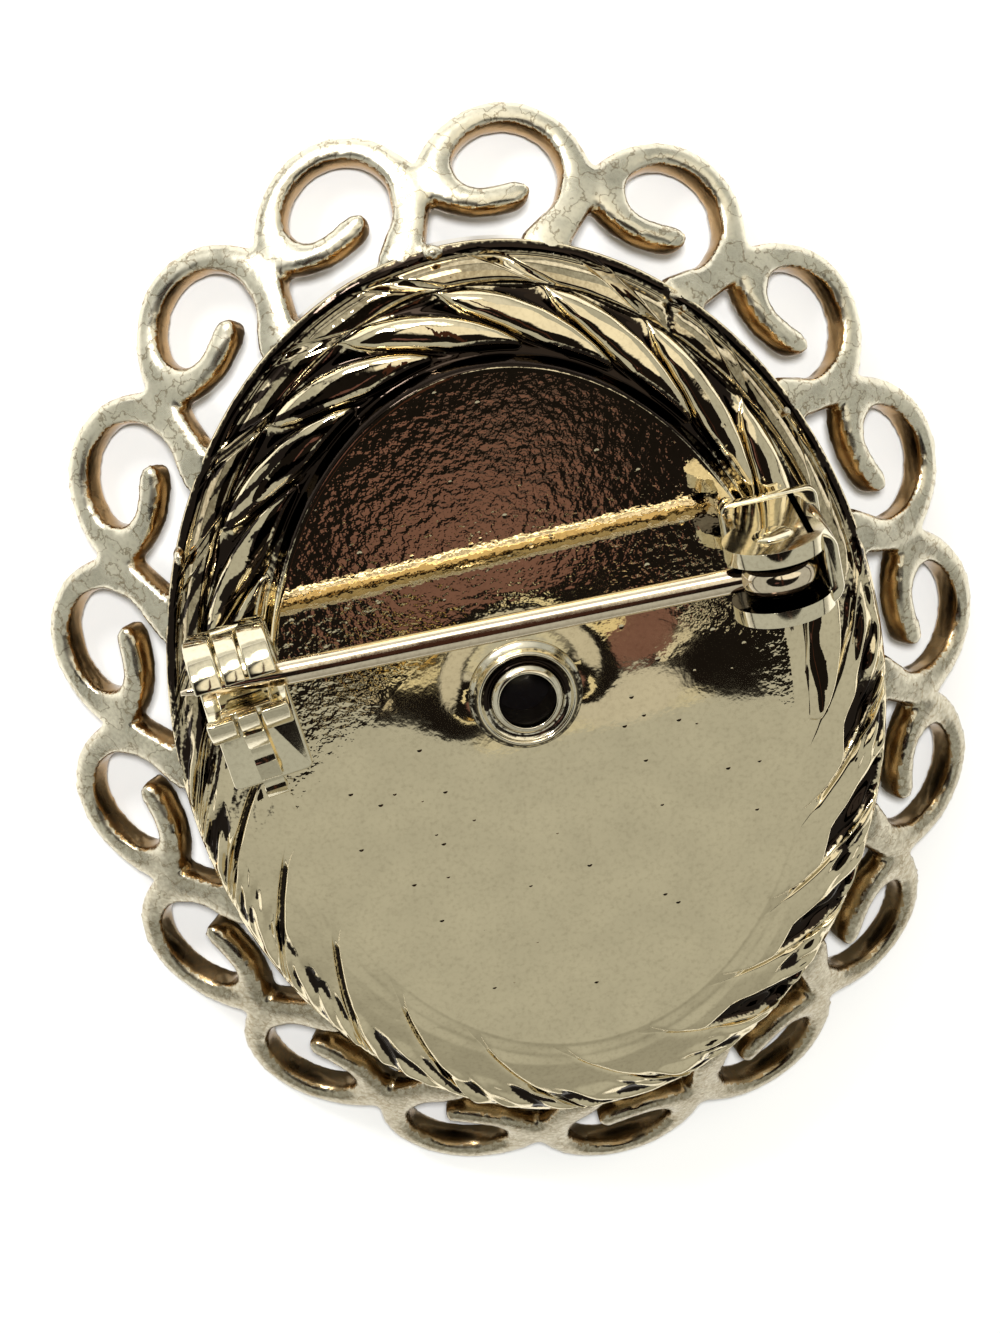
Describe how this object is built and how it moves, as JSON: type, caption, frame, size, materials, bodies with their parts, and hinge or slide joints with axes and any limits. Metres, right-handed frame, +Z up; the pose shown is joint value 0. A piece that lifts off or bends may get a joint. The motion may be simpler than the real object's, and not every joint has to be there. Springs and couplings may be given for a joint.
{
  "type": "cameo brooch",
  "caption": "Oval cameo brooch with a pierced scroll border, a twisted cast band, a hinged pin stem and a turning safety catch on the back.",
  "frame": {"origin": "centre of the bounding box's base, on the surface that the brooch lies on, face down", "axes": "+Z up, the way the back faces; +Y towards the brooch's top; +X to the right when the back is looked at"},
  "size_m": [0.0416, 0.0514, 0.0152],
  "materials": {
    "gilt_casting": "pale gold plate on a casting, polished with fine grain",
    "gilt_fitting": "pale gold plate on bent sheet, polished",
    "pin_wire": "pale gold plate on wire, polished",
    "stone_ground": "glossy black",
    "stone_carving": "satin ivory"
  },
  "bodies": {
    "brooch": {"setting_frame": "gilt_casting", "back_eyelet": "gilt_fitting", "hinge_bracket": "gilt_fitting", "hinge_rivet": "gilt_fitting", "catch_housing": "gilt_fitting", "cameo_stone": "stone_ground", "cameo_relief": "stone_carving"},
    "pin": {"pin_stem": "pin_wire"},
    "lever": {"catch_lever": "gilt_fitting"}
  },
  "joints": [
    {"name": "pin_hinge", "type": "hinge", "parent": "brooch", "child": "pin", "pos_m": [0.01095, 0.00595, 0.01301], "axis": [0, 1, 0], "range_deg": [0, 100]},
    {"name": "catch_turn", "type": "hinge", "parent": "brooch", "child": "lever", "pos_m": [-0.01255, 0.00595, 0.01201], "axis": [-0.9945, -0.1045, 0], "range_deg": [0, 150]}
  ]
}
